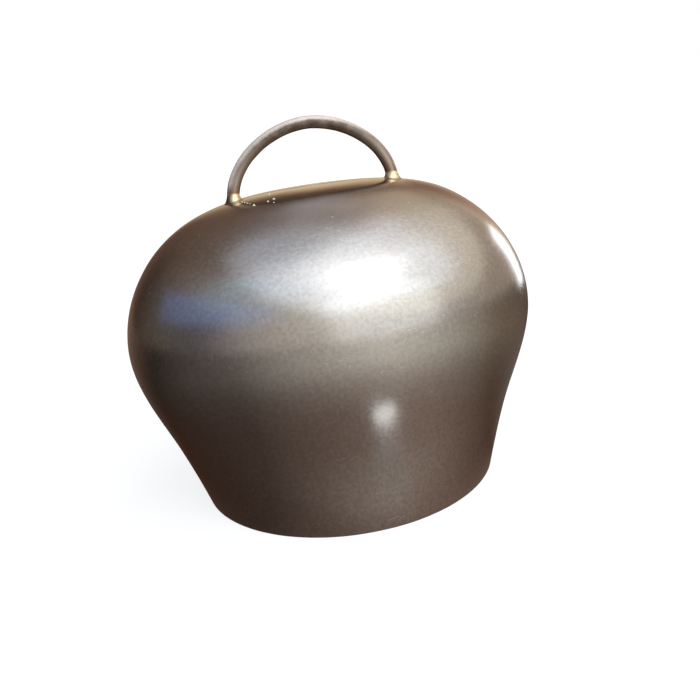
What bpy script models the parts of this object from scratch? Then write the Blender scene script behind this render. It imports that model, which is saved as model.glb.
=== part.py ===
"""Alpine cowbell: two pressed half shells welded into one bell, a rod handle and a hanging clapper.

The origin is the centre of the mouth plane. +Z is up, X runs across the wide faces and the front
face looks along -Y.
"""
import math

import bmesh
import bpy
import numpy as np
from mathutils import Matrix

MM = 0.001

# Sheet metal and the joints between the pieces
SHEET = 2.0 * MM  # wall of the pressed half shells
WELD_WIDTH = 3.0 * MM  # seam weld between the halves, ground flush
CLEARANCE = 0.3 * MM  # gap kept between pieces that bear on each other

# Bell body: width and depth of each section, and its rise above the section below
MOUTH_WIDTH = 119.0 * MM
MOUTH_DEPTH = 111.0 * MM
WAIST_WIDTH = 139.0 * MM
WAIST_DEPTH = 106.0 * MM
WAIST_RISE = 29.0 * MM
BELLY_WIDTH = 160.0 * MM
BELLY_DEPTH = 118.0 * MM
BELLY_RISE = 35.0 * MM
SHOULDER_WIDTH = 137.0 * MM
SHOULDER_DEPTH = 96.0 * MM
SHOULDER_RISE = 32.5 * MM
CROWN_WIDTH = 102.0 * MM
CROWN_DEPTH = 50.0 * MM
CROWN_RISE = 14.5 * MM
SEAT_WIDTH = 54.0 * MM  # nearly flat seat under the handle
SEAT_DEPTH = 24.0 * MM
SEAT_RISE = 6.9 * MM
DOME_RISE = 1.1 * MM

# Strap handle: a round rod bent into an arch over the crown
HANDLE_ROD = 4.8 * MM
HANDLE_SPAN = 62.0 * MM  # between the middles of the feet
HANDLE_RISE = 23.3 * MM  # rod middle above the top of the crown
HANDLE_ARCH_POWER = 1.86  # 2 is an ellipse, less is flatter at the haunches

# Brazed fillets round the feet of the handle and of the staple
HANDLE_BRAZE_HEIGHT = 4.6 * MM
HANDLE_BRAZE_SPREAD = 2.2 * MM  # toe beyond the rod
STAPLE_BRAZE_HEIGHT = 3.6 * MM
STAPLE_BRAZE_SPREAD = 2.0 * MM
BRAZE_LIP = 0.9 * MM  # thickness where the fillet runs out on the rod

# Clapper staple: a round rod bent into a U under the crown
STAPLE_ROD = 5.0 * MM
STAPLE_SPAN = 28.0 * MM
STAPLE_BEND = 6.0 * MM  # bend radius at the rod middle
STAPLE_DROP = 16.5 * MM  # bar middle below the inside of the crown

# Clapper: a link on the staple bar, a shank with an eye in the link, and a ball
LINK_ROD = 4.0 * MM
LINK_SLACK = 1.9 * MM  # play between the staple bar and the eye inside the link
EYE_ROD = 4.4 * MM
EYE_SLACK = 4.5 * MM  # play of the link inside the eye
SHANK_ROD = 5.2 * MM
BALL_DIAMETER = 26.0 * MM
BALL_LIFT = 4.0 * MM  # ball above the mouth plane

# Fineness of the curved surfaces
BELL_SIDES = 56
BELL_ROWS = 21
ROD_SIDES = 12
RING_SIDES = 28
ARCH_STEPS = 24
BEND_STEPS = 5
FILLET_STEPS = 4
FILLET_SIDES = 16
BALL_SIDES = 24
BALL_ROWS = 14
PROFILE_SAMPLES = 1000
SMOOTH_ANGLE = math.radians(40)
WELD_DISTANCE = 0.003 * MM  # mesh points closer than this are one point

# Heights and places that follow from the sizes above
WAIST_LEVEL = WAIST_RISE
BELLY_LEVEL = WAIST_LEVEL + BELLY_RISE
SHOULDER_LEVEL = BELLY_LEVEL + SHOULDER_RISE
CROWN_LEVEL = SHOULDER_LEVEL + CROWN_RISE
SEAT_LEVEL = CROWN_LEVEL + SEAT_RISE
BODY_HEIGHT = SEAT_LEVEL + DOME_RISE
TRIM = 2 * SHEET  # pressing left below the lip, cut away to make the flat rim
REACH = BELLY_WIDTH + BODY_HEIGHT + MOUTH_WIDTH  # past every outer face of the bell

BAR_LEVEL = BODY_HEIGHT - SHEET - STAPLE_DROP
LINK_RADIUS = (STAPLE_ROD + EYE_ROD + LINK_SLACK + LINK_ROD) / 2 + CLEARANCE
LINK_TOP = BAR_LEVEL + STAPLE_ROD / 2 + CLEARANCE + LINK_ROD / 2
LINK_LEVEL = LINK_TOP - LINK_RADIUS
LINK_FOOT = LINK_LEVEL - LINK_RADIUS
EYE_RADIUS = (LINK_ROD + EYE_SLACK + EYE_ROD) / 2
EYE_LEVEL = LINK_FOOT + LINK_ROD / 2 + CLEARANCE + EYE_ROD / 2 - EYE_RADIUS
BALL_LEVEL = BALL_LIFT + BALL_DIAMETER / 2


def clear_scene():
    """Remove the objects of the scene that the script starts in."""
    for item in list(bpy.data.objects):
        bpy.data.objects.remove(item, do_unlink=True)


def new_collection(name):
    """Add an empty collection to the scene."""
    collection = bpy.data.collections.new(name)
    bpy.context.scene.collection.children.link(collection)
    return collection


def new_material(name, color, roughness, metallic):
    """Principled material of one plain colour."""
    material = bpy.data.materials.new(name)
    material.use_nodes = True
    shader = material.node_tree.nodes["Principled BSDF"]
    shader.inputs["Base Color"].default_value = (*color, 1.0)
    shader.inputs["Roughness"].default_value = roughness
    shader.inputs["Metallic"].default_value = metallic
    return material


def new_object(name, mesh, collection, material=None):
    """Object with smooth faces; a cutter is one without a material."""
    mesh.name = name
    mesh.shade_smooth()
    mesh.set_sharp_from_angle(angle=SMOOTH_ANGLE)
    item = bpy.data.objects.new(name, mesh)
    collection.objects.link(item)
    if material is None:
        item.hide_render = True
        item.display_type = "WIRE"
    else:
        mesh.materials.append(material)
    return item


def mesh_from(bm):
    """Mesh of a finished bmesh."""
    mesh = bpy.data.meshes.new("blank")
    bm.to_mesh(mesh)
    bm.free()
    return mesh


def add_boolean(item, tool, operation):
    """Cut or join an object with a tool solid."""
    modifier = item.modifiers.new(operation.lower() + " " + tool.name, "BOOLEAN")
    modifier.operation = operation
    modifier.solver = "EXACT"
    modifier.object = tool


def box_mesh(low, high):
    """Box between two corners."""
    size = [h - l for l, h in zip(low, high)]
    middle = [(h + l) / 2 for l, h in zip(low, high)]
    bm = bmesh.new()
    bmesh.ops.create_cube(bm, size=1.0, matrix=Matrix.Translation(middle) @ Matrix.Diagonal((*size, 1.0)))
    return mesh_from(bm)


def cylinder_mesh(diameter, low, high):
    """Upright cylinder on the Z axis between two heights."""
    bm = bmesh.new()
    bmesh.ops.create_cone(
        bm,
        cap_ends=True,
        segments=ROD_SIDES,
        radius1=diameter / 2,
        radius2=diameter / 2,
        depth=high - low,
        matrix=Matrix.Translation((0, 0, (low + high) / 2)),
    )
    return mesh_from(bm)


def ring_mesh(radius, rod, plane_turn):
    """Round ring of rod about the origin, turned from the XY plane into its own plane."""
    bpy.ops.mesh.primitive_torus_add(
        major_radius=radius,
        minor_radius=rod / 2,
        major_segments=RING_SIDES,
        minor_segments=ROD_SIDES,
    )
    ring = bpy.context.object
    mesh = ring.data
    bpy.data.objects.remove(ring, do_unlink=True)
    mesh.transform(plane_turn)
    return mesh


def rod_mesh(points, diameter):
    """Round rod along a line of points, with closed ends."""
    curve = bpy.data.curves.new("rod", "CURVE")
    curve.dimensions = "3D"
    curve.bevel_depth = diameter / 2
    curve.bevel_resolution = ROD_SIDES // 2 - 2
    curve.use_fill_caps = True
    spline = curve.splines.new("POLY")
    spline.points.add(len(points) - 1)
    for place, point in zip(spline.points, points):
        place.co = (*point, 1.0)
    guide = bpy.data.objects.new("rod", curve)
    bpy.context.scene.collection.objects.link(guide)
    evaluated = guide.evaluated_get(bpy.context.evaluated_depsgraph_get())
    mesh = bpy.data.meshes.new_from_object(evaluated)
    bpy.data.objects.remove(guide, do_unlink=True)
    bpy.data.curves.remove(curve)
    bm = bmesh.new()
    bm.from_mesh(mesh)
    bmesh.ops.remove_doubles(bm, verts=bm.verts, dist=WELD_DISTANCE)
    bm.to_mesh(mesh)
    bm.free()
    return mesh


def natural_spline(knots, values, places):
    """Natural cubic spline through the values at the knots, read at the places."""
    gaps = np.diff(knots)
    slopes = np.diff(values) / gaps
    system = np.eye(len(knots))
    target = np.zeros(len(knots))
    for i in range(1, len(knots) - 1):
        system[i, i - 1:i + 2] = gaps[i - 1], 2 * (gaps[i - 1] + gaps[i]), gaps[i]
        target[i] = 6 * (slopes[i] - slopes[i - 1])
    bends = np.linalg.solve(system, target)
    span = np.clip(np.searchsorted(knots, places) - 1, 0, len(gaps) - 1)
    gap = gaps[span]
    after = places - knots[span]
    before = gap - after
    curved = (bends[span] * before**3 + bends[span + 1] * after**3) / (6 * gap)
    start = (values[span] / gap - bends[span] * gap / 6) * before
    end = (values[span + 1] / gap - bends[span + 1] * gap / 6) * after
    return curved + start + end


def bell_sections(rows, trim):
    """Half widths, half depths and heights of the bell, from the top of the crown to the trim line."""
    upper_widths = [0, SEAT_WIDTH, CROWN_WIDTH, SHOULDER_WIDTH]
    upper_depths = [0, SEAT_DEPTH, CROWN_DEPTH, SHOULDER_DEPTH]
    upper_levels = [BODY_HEIGHT, SEAT_LEVEL, CROWN_LEVEL, SHOULDER_LEVEL]
    widths = np.array([*upper_widths, BELLY_WIDTH, WAIST_WIDTH, MOUTH_WIDTH]) / 2
    depths = np.array([*upper_depths, BELLY_DEPTH, WAIST_DEPTH, MOUTH_DEPTH]) / 2
    levels = np.array([*upper_levels, BELLY_LEVEL, WAIST_LEVEL, 0])
    steps = np.hypot(np.diff(widths), np.diff(levels))
    run = np.concatenate([[0], np.cumsum(steps)])
    knots = np.concatenate([-run[:0:-1], run])
    places = np.linspace(0, run[-1] + trim, rows + 1)
    half_widths = natural_spline(knots, np.concatenate([-widths[:0:-1], widths]), places)
    half_depths = natural_spline(knots, np.concatenate([-depths[:0:-1], depths]), places)
    heights = natural_spline(knots, np.concatenate([levels[:0:-1], levels]), places)
    return half_widths, half_depths, heights


def crown_height(x):
    """Height of the bell's outside over a point on the X axis."""
    half_widths, _, heights = bell_sections(PROFILE_SAMPLES, 0)
    belly = int(np.argmax(half_widths))
    return float(np.interp(abs(x), half_widths[:belly], heights[:belly]))


def bell_surface(offset=0.0, closed=False):
    """Loft of elliptical sections from the crown to the trim line, moved out by an offset."""
    half_widths, half_depths, heights = bell_sections(BELL_ROWS, TRIM)
    bm = bmesh.new()
    loops = []
    for row in range(1, BELL_ROWS + 1):
        size = Matrix.Diagonal((half_widths[row], half_depths[row], 1.0, 1.0))
        ring = bmesh.ops.create_circle(
            bm,
            cap_ends=row == 1 or (closed and row == BELL_ROWS),
            cap_tris=row == 1,
            segments=BELL_SIDES,
            radius=1.0,
            matrix=Matrix.Translation((0, 0, heights[row])) @ size,
        )["verts"]
        middle = [vert for vert in ring if math.hypot(vert.co.x, vert.co.y) < half_depths[1] / 2]
        for vert in middle:
            vert.co.z = heights[0]
        rim = set(ring) - set(middle)
        loops.append([edge for edge in bm.edges if rim.issuperset(edge.verts)])
    for upper, lower in zip(loops, loops[1:]):
        bmesh.ops.bridge_loops(bm, edges=upper + lower)
    bmesh.ops.recalc_face_normals(bm, faces=bm.faces)
    bm.verts.ensure_lookup_table()
    top = max(bm.verts, key=lambda vert: vert.co.z)
    if top.link_faces[0].normal.z < 0:
        bmesh.ops.reverse_faces(bm, faces=bm.faces)
    bm.normal_update()
    for vert in bm.verts:
        vert.co += vert.normal * offset
    return mesh_from(bm)


def shell_piece(name, low_y, high_y, collection, cutters, material):
    """Sheet of the bell between two Y planes, cut flat at the mouth."""
    piece = new_object(name, bell_surface(), collection, material)
    solidify = piece.modifiers.new("sheet", "SOLIDIFY")
    solidify.thickness = SHEET
    solidify.offset = -1.0
    solidify.use_even_offset = True
    keep = box_mesh((-REACH, low_y, 0), (REACH, high_y, REACH))
    add_boolean(piece, new_object(name + "_cut", keep, cutters), "INTERSECT")


def handle_points():
    """Arch of the handle, with both legs run on into the crown."""
    half_span = HANDLE_SPAN / 2
    spring = crown_height(half_span)
    rise = BODY_HEIGHT + HANDLE_RISE - spring
    points = [(-half_span, 0, spring - HANDLE_ROD)]
    for step in range(ARCH_STEPS + 1):
        angle = math.pi * step / ARCH_STEPS
        across = abs(math.cos(angle)) ** (2 / HANDLE_ARCH_POWER)
        up = math.sin(angle) ** (2 / HANDLE_ARCH_POWER) if 0 < step < ARCH_STEPS else 0
        points.append((-math.copysign(half_span * across, math.cos(angle)), 0, spring + rise * up))
    points.append((half_span, 0, spring - HANDLE_ROD))
    return points


def staple_points():
    """U of the staple, with both legs run on through the crown."""
    half_span = STAPLE_SPAN / 2
    bend_middle = half_span - STAPLE_BEND
    points = [(-half_span, 0, BODY_HEIGHT)]
    for side in (-1, 1):
        for step in range(BEND_STEPS + 1):
            turn = step if side < 0 else BEND_STEPS - step
            angle = math.pi / 2 * turn / BEND_STEPS
            x = side * (bend_middle + STAPLE_BEND * math.cos(angle))
            points.append((x, 0, BAR_LEVEL + STAPLE_BEND * (1 - math.sin(angle))))
    points.append((half_span, 0, BODY_HEIGHT))
    return points


def fillet_mesh(rod, spread, height, root):
    """Outline of a brazed fillet from the rod's axis at the top round to the axis at the root."""
    toe = rod / 2 + spread
    outline = [(0, height)]
    for step in range(FILLET_STEPS + 1):
        angle = math.pi / 2 * step / FILLET_STEPS
        outline.append((toe - (spread - BRAZE_LIP) * math.cos(angle), height * (1 - math.sin(angle))))
    outline += [(toe, -root), (0, -root)]
    bm = bmesh.new()
    verts = [bm.verts.new((radius, 0, level)) for radius, level in outline]
    for first, second in zip(verts, verts[1:]):
        bm.edges.new((first, second))
    return mesh_from(bm)


def braze_piece(name, mesh, place, collection, material):
    """Turned fillet standing on a foot of the handle or hanging at a foot of the staple."""
    piece = new_object(name, mesh, collection, material)
    piece.matrix_world = place
    turn = piece.modifiers.new("turn", "SCREW")
    turn.axis = "Z"
    turn.steps = FILLET_SIDES
    turn.render_steps = FILLET_SIDES
    turn.use_merge_vertices = True
    turn.merge_threshold = WELD_DISTANCE
    return piece


def build_shells(parts, cutters, steel):
    """Front and rear pressings, and the weld that joins them."""
    seam = WELD_WIDTH / 2
    shell_piece("front_shell", -REACH, -seam - CLEARANCE, parts, cutters, steel)
    shell_piece("rear_shell", seam + CLEARANCE, REACH, parts, cutters, steel)
    weld = new_material("weld_metal", (0.30, 0.27, 0.24), 0.42, 1.0)
    shell_piece("seam_weld", -seam, seam, parts, cutters, weld)


def build_handle(parts, cutters, brass):
    """Strap handle and the two brazed fillets that hold it on the crown."""
    rod_steel = new_material("handle_steel", (0.24, 0.20, 0.17), 0.38, 1.0)
    outside = new_object("bell_outside", bell_surface(CLEARANCE, closed=True), cutters)
    handle = new_object("handle", rod_mesh(handle_points(), HANDLE_ROD), parts, rod_steel)
    add_boolean(handle, outside, "DIFFERENCE")
    bore = rod_mesh(handle_points(), HANDLE_ROD + 2 * CLEARANCE)
    bore = new_object("handle_bore", bore, cutters)
    for side, name in ((-1, "left_handle_braze"), (1, "right_handle_braze")):
        foot = side * HANDLE_SPAN / 2
        fillet = fillet_mesh(HANDLE_ROD, HANDLE_BRAZE_SPREAD, HANDLE_BRAZE_HEIGHT, HANDLE_ROD / 2)
        place = Matrix.Translation((foot, 0, crown_height(foot)))
        braze = braze_piece(name, fillet, place, parts, brass)
        add_boolean(braze, bore, "DIFFERENCE")
        add_boolean(braze, outside, "DIFFERENCE")


def build_staple(parts, cutters, iron, brass):
    """U staple inside the crown and the two brazed fillets that hold it."""
    inside = new_object("bell_inside", bell_surface(-SHEET - CLEARANCE, closed=True), cutters)
    staple = new_object("clapper_staple", rod_mesh(staple_points(), STAPLE_ROD), parts, iron)
    add_boolean(staple, inside, "INTERSECT")
    bore = rod_mesh(staple_points(), STAPLE_ROD + 2 * CLEARANCE)
    bore = new_object("staple_bore", bore, cutters)
    for side, name in ((-1, "left_staple_braze"), (1, "right_staple_braze")):
        foot = side * STAPLE_SPAN / 2
        fillet = fillet_mesh(STAPLE_ROD, STAPLE_BRAZE_SPREAD, STAPLE_BRAZE_HEIGHT, STAPLE_ROD / 2)
        place = Matrix.Translation((foot, 0, crown_height(foot) - SHEET))
        braze = braze_piece(name, fillet, place @ Matrix.Rotation(math.pi, 4, "X"), parts, brass)
        add_boolean(braze, bore, "DIFFERENCE")
        add_boolean(braze, inside, "INTERSECT")


def build_clapper(parts, cutters, iron):
    """Link, shank and ball, on pivots at the staple bar and at the foot of the link."""
    link_pivot = bpy.data.objects.new("link_pivot", None)
    link_pivot.location = (0, 0, BAR_LEVEL)
    clapper_pivot = bpy.data.objects.new("clapper_pivot", None)
    clapper_pivot.location = (0, 0, LINK_FOOT - BAR_LEVEL)
    clapper_pivot.parent = link_pivot
    for pivot in (link_pivot, clapper_pivot):
        parts.objects.link(pivot)

    link_ring = ring_mesh(LINK_RADIUS, LINK_ROD, Matrix.Rotation(math.pi / 2, 4, "Y"))
    link = new_object("clapper_link", link_ring, parts, iron)
    link.parent = link_pivot
    link.location = (0, 0, LINK_LEVEL - BAR_LEVEL)

    eye_place = Matrix.Translation((0, 0, EYE_LEVEL - LINK_FOOT))
    eye = ring_mesh(EYE_RADIUS, EYE_ROD, eye_place @ Matrix.Rotation(math.pi / 2, 4, "X"))
    shank = new_object("clapper_shank", eye, parts, iron)
    shank.parent = clapper_pivot
    shank_rod = cylinder_mesh(SHANK_ROD, BALL_LEVEL, EYE_LEVEL - EYE_RADIUS)
    add_boolean(shank, new_object("shank_rod", shank_rod, cutters), "UNION")

    bm = bmesh.new()
    bmesh.ops.create_uvsphere(bm, u_segments=BALL_SIDES, v_segments=BALL_ROWS, radius=BALL_DIAMETER / 2)
    ball = new_object("clapper_ball", mesh_from(bm), parts, iron)
    ball.parent = clapper_pivot
    ball.location = (0, 0, BALL_LEVEL - LINK_FOOT)
    socket = cylinder_mesh(SHANK_ROD + 2 * CLEARANCE, BALL_LEVEL - CLEARANCE, BALL_LEVEL + BALL_DIAMETER)
    add_boolean(ball, new_object("ball_socket", socket, cutters), "DIFFERENCE")


def main():
    """Build the whole bell."""
    clear_scene()
    parts = new_collection("alpine_cowbell")
    cutters = new_collection("cutters")
    steel = new_material("burnished_steel", (0.26, 0.22, 0.19), 0.32, 1.0)
    iron = new_material("forged_iron", (0.12, 0.11, 0.10), 0.55, 1.0)
    brass = new_material("braze_brass", (0.62, 0.44, 0.20), 0.35, 1.0)
    build_shells(parts, cutters, steel)
    build_handle(parts, cutters, brass)
    build_staple(parts, cutters, iron, brass)
    build_clapper(parts, cutters, iron)


main()
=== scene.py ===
"""Looks of the alpine cowbell: fine meshes, finishes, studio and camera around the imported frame.

Lengths are in metres. The origin is the centre of the mouth plane, +Z is up, X runs across the wide
faces and the front face looks along -Y.
"""
import logging
import math
from collections.abc import Callable, Iterator, Sequence
from contextlib import contextmanager
from dataclasses import dataclass
from enum import Enum

import bmesh
import bpy
import numpy as np
from mathutils import Matrix, Quaternion, Vector


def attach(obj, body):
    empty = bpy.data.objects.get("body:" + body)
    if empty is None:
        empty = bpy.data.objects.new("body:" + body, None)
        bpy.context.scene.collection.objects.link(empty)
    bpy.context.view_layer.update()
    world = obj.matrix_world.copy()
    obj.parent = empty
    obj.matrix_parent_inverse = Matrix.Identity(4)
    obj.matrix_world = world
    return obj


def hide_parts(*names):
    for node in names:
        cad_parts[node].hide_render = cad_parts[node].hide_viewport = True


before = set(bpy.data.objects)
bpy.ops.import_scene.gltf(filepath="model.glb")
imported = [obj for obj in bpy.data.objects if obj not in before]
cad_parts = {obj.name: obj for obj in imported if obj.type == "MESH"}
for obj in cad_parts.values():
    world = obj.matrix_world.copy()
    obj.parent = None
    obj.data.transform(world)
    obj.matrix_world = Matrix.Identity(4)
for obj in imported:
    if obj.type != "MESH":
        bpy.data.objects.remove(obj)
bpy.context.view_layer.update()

LOG = logging.getLogger("cowbell")
MM = 0.001
SMOOTH_ANGLE = math.radians(38)
CUT_THRESHOLD = 0.0001 * MM
MERGE_DISTANCE = 0.002 * MM
PICK_MARGIN = 0.01 * MM
NOISE_MIDDLE = 0.5
HALF_TURN = 180.0
FULL_TURN = 360.0
ORIGIN = Vector((0, 0, 0))
UP = Vector((0, 0, 1))

Color = tuple[float, float, float]
Triple = tuple[float, float, float]

WHITE: Color = (1.0, 1.0, 1.0)


class Body(Enum):
    """Bodies of the frame that a piece can ride on."""

    BELL = "bell"
    LINK = "link"
    CLAPPER = "clapper"


class Slot(Enum):
    """Material slots of the record."""

    SHELL = "shell_steel"
    WELD = "weld_steel"
    HANDLE = "handle_steel"
    BRAZE = "braze_brass"
    CLAPPER = "clapper_iron"


class Outline(Enum):
    """Outlines of a softbox."""

    BOX = "RECTANGLE"
    OVAL = "ELLIPSE"

    def area(self, width: float, height: float) -> float:
        """Area inside the outline."""
        return width * height * (math.pi / 4 if self is Outline.OVAL else 1.0)


@dataclass(frozen=True)
class Noise:
    """Cloudy noise pattern, with its scale in waves to the metre."""

    scale: float
    detail: float = 4.0
    roughness: float = 0.55


@dataclass(frozen=True)
class Step:
    """Smooth step from a low result to a high one while a value runs from start to end."""

    start: float
    end: float
    low: float = 0.0
    high: float = 1.0


@dataclass(frozen=True)
class Relief:
    """Strength of a bump and the depth that it stands for."""

    strength: float
    depth: float


@dataclass(frozen=True)
class Specks:
    """Scattered dots: cells to the metre, radius in cells, and the share of cells that hold one."""

    scale: float
    size: float
    share: float
    core: float = 0.4
    chance_blend: float = 0.02


@dataclass(frozen=True)
class Scratches:
    """Thin broken lines: turn of their direction in radians, and noise scales along and across them."""

    turn: Triple
    stretch: float
    fine: float
    line: Noise = Noise(1.0, 1.0)
    line_step: Step = Step(0.012, 0.004)
    breaks: Noise = Noise(0.37, 2.0)
    break_step: Step = Step(0.62, 0.70)


@dataclass(frozen=True)
class Unevenness:
    """Size and depth of a soft noise in the skin of a piece."""

    size: float
    depth: float


def opaque(color: Color) -> tuple[float, float, float, float]:
    """Colour with full cover."""
    return (*color, 1.0)


def deselect() -> None:
    """Deselect every object."""
    bpy.ops.object.select_all(action="DESELECT")


def direction(azimuth: float, elevation: float) -> Vector:
    """Direction seen from the bell.

    Args:
        azimuth: Turn from the front to the right, in degrees.
        elevation: Angle above the floor, in degrees.

    Returns:
        The direction, of length 1.
    """
    turn = math.radians(azimuth)
    lift = math.radians(elevation)
    flat = math.cos(lift)
    return Vector((math.sin(turn) * flat, -math.cos(turn) * flat, math.sin(lift)))


class Wire:
    """A node socket that takes part in Python arithmetic."""

    def __init__(self, graph: "Graph", socket: bpy.types.NodeSocket) -> None:
        """Keep the socket and the graph that owns it."""
        self.graph = graph
        self.socket = socket

    def __add__(self, other: "Term") -> "Wire":
        """Sum of two terms."""
        return self.graph.math("ADD", self, other)

    def __sub__(self, other: "Term") -> "Wire":
        """This wire less the other term."""
        return self.graph.math("SUBTRACT", self, other)

    def __rsub__(self, other: "Term") -> "Wire":
        """The other term less this wire."""
        return self.graph.math("SUBTRACT", other, self)

    def __mul__(self, other: "Term") -> "Wire":
        """Product of two terms."""
        return self.graph.math("MULTIPLY", self, other)

    def __abs__(self) -> "Wire":
        """Size of the value without its sign."""
        return self.graph.math("ABSOLUTE", self)

    __radd__ = __add__
    __rmul__ = __mul__


Term = Wire | float


class Graph:
    """Node tree of a material or of the world, written as Python calls."""

    def __init__(self, owner: bpy.types.ID) -> None:
        """Start from an empty tree.

        Args:
            owner: Material or world whose tree it is.
        """
        owner.use_nodes = True
        owner.node_tree.nodes.clear()
        self.owner = owner
        self.tree = owner.node_tree

    @classmethod
    def of_material(cls, name: str) -> "Graph":
        """Graph of a new material."""
        return cls(bpy.data.materials.new(name))

    def node(self, kind: str, settings: dict | None = None, sockets: dict | None = None) -> bpy.types.Node:
        """Add one node of any type.

        Args:
            kind: Type of the node, without the common prefix.
            settings: Properties that are set first; "stops" fills a ramp.
            sockets: Value or wire of each input, by place, identifier or name.

        Returns:
            The new node.
        """
        node = self.tree.nodes.new("ShaderNode" + kind)
        for name, value in (settings or {}).items():
            if name == "stops":
                self.fill_ramp(node.color_ramp, value)
            else:
                setattr(node, name, value)
        for name, value in (sockets or {}).items():
            socket = self.find(node.inputs, name)
            if isinstance(value, Wire):
                self.tree.links.new(value.socket, socket)
            else:
                socket.default_value = value
        return node

    def add(self, kind: str, settings: dict | None = None, sockets: dict | None = None,
            output: int | str = 0) -> Wire:
        """Add one node and take an output of it.

        Args:
            kind: Type of the node, without the common prefix.
            settings: Properties that are set first.
            sockets: Value or wire of each input.
            output: Output that is taken, by place, identifier or name.

        Returns:
            The wire of that output.
        """
        node = self.node(kind, settings, sockets)
        return Wire(self, self.find(node.outputs, output))

    def show(self, kind: str, shader: Wire) -> bpy.types.ID:
        """Feed the output node with a shader and hand back the owner of the tree."""
        self.node(kind, None, {"Surface": shader})
        return self.owner

    @staticmethod
    def find(sockets: Sequence[bpy.types.NodeSocket], key: int | str) -> bpy.types.NodeSocket:
        """Socket with that place, identifier or name."""
        known = {socket.identifier: socket for socket in sockets}
        return known[key] if key in known else sockets[key]

    @staticmethod
    def fill_ramp(ramp: bpy.types.ColorRamp, stops: Sequence[tuple[float, Color]]) -> None:
        """Fill a colour ramp.

        Args:
            ramp: Ramp that is filled.
            stops: Triple and colour of each stop.
        """
        while len(ramp.elements) < len(stops):
            ramp.elements.new(1.0)
        for element, (place, color) in zip(ramp.elements, stops):
            element.position = place
            element.color = opaque(color)

    def math(self, operation: str, *terms: Term) -> Wire:
        """Math node on wires and numbers."""
        return self.add("Math", {"operation": operation}, dict(enumerate(terms)))

    def waver(self, base: Term, spread: float, noise: Wire) -> Wire:
        """Value that wavers about a base with a noise."""
        return base + spread * (noise - NOISE_MIDDLE)

    def place(self) -> Wire:
        """Object coordinates of the surface point."""
        return self.add("TexCoord", None, None, "Object")

    def axis(self, vector: Wire, name: str) -> Wire:
        """One coordinate of a vector."""
        return self.add("SeparateXYZ", None, {"Vector": vector}, name)

    def reach(self, vector: Wire) -> Wire:
        """Length of a vector."""
        return self.add("VectorMath", {"operation": "LENGTH"}, {0: vector}, "Value")

    def noise(self, place: Wire, pattern: Noise) -> Wire:
        """Cloudy noise from about 0.2 to 0.8."""
        form = {"Scale": pattern.scale, "Detail": pattern.detail, "Roughness": pattern.roughness}
        return self.add("TexNoise", None, {"Vector": place, **form})

    def fade(self, value: Wire, step: Step) -> Wire:
        """Smooth step of a value."""
        limits = {"From Min": step.start, "From Max": step.end, "To Min": step.low, "To Max": step.high}
        return self.add("MapRange", {"interpolation_type": "SMOOTHSTEP"}, {"Value": value, **limits})

    def mix(self, factor: Term, first: Wire | Color, second: Wire | Color) -> Wire:
        """Blend two colours.

        Args:
            factor: 0 for the first colour and 1 for the second.
            first: Colour that is there.
            second: Colour that is laid over it.

        Returns:
            The wire of the blend.
        """
        ends = [end if isinstance(end, Wire) else opaque(end) for end in (first, second)]
        sockets = {"Factor_Float": factor, "A_Color": ends[0], "B_Color": ends[1]}
        return self.add("Mix", {"data_type": "RGBA"}, sockets, "Result_Color")

    def specks(self, place: Wire, pattern: Specks) -> Wire:
        """Scatter small dots.

        Args:
            place: Coordinates of the surface.
            pattern: Spacing, size and share of the dots.

        Returns:
            A mask that is 1 in the dots.
        """
        sockets = {"Vector": place, "Scale": pattern.scale}
        distance = self.add("TexVoronoi", None, sockets, "Distance")
        chance = self.axis(self.add("TexVoronoi", None, sockets, "Color"), "X")
        dot = self.fade(distance, Step(pattern.size, pattern.core * pattern.size))
        start = 1 - pattern.share
        return dot * self.fade(chance, Step(start, start + pattern.chance_blend))

    def scratches(self, place: Wire, pattern: Scratches) -> Wire:
        """Draw thin broken lines along one direction.

        Args:
            place: Coordinates of the surface.
            pattern: Direction and scales of the lines.

        Returns:
            A mask that is 1 on the lines.
        """
        scale = (pattern.stretch, pattern.fine, pattern.fine)
        grid = self.add("Mapping", None, {"Vector": place, "Rotation": pattern.turn, "Scale": scale})
        line = abs(self.noise(grid, pattern.line) - NOISE_MIDDLE)
        breaks = self.noise(grid, pattern.breaks)
        return self.fade(line, pattern.line_step) * self.fade(breaks, pattern.break_step)

    def metal(self, color: Wire, rough: Wire, height: Wire, relief: Relief,
              metallic: Term = 1.0) -> bpy.types.Material:
        """Finish the material as metal.

        Args:
            color: Its colour.
            rough: Its roughness.
            height: Height of the fine relief.
            relief: Strength and depth of that relief.
            metallic: Metallic share of the finish, 1 for clean metal.

        Returns:
            The material.
        """
        bumped = {"Strength": relief.strength, "Distance": relief.depth, "Height": height}
        sockets = {
            "Base Color": color,
            "Metallic": metallic,
            "Roughness": rough,
            "Normal": self.add("Bump", None, bumped, "Normal"),
        }
        return self.show("OutputMaterial", self.add("BsdfPrincipled", None, sockets))


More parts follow.
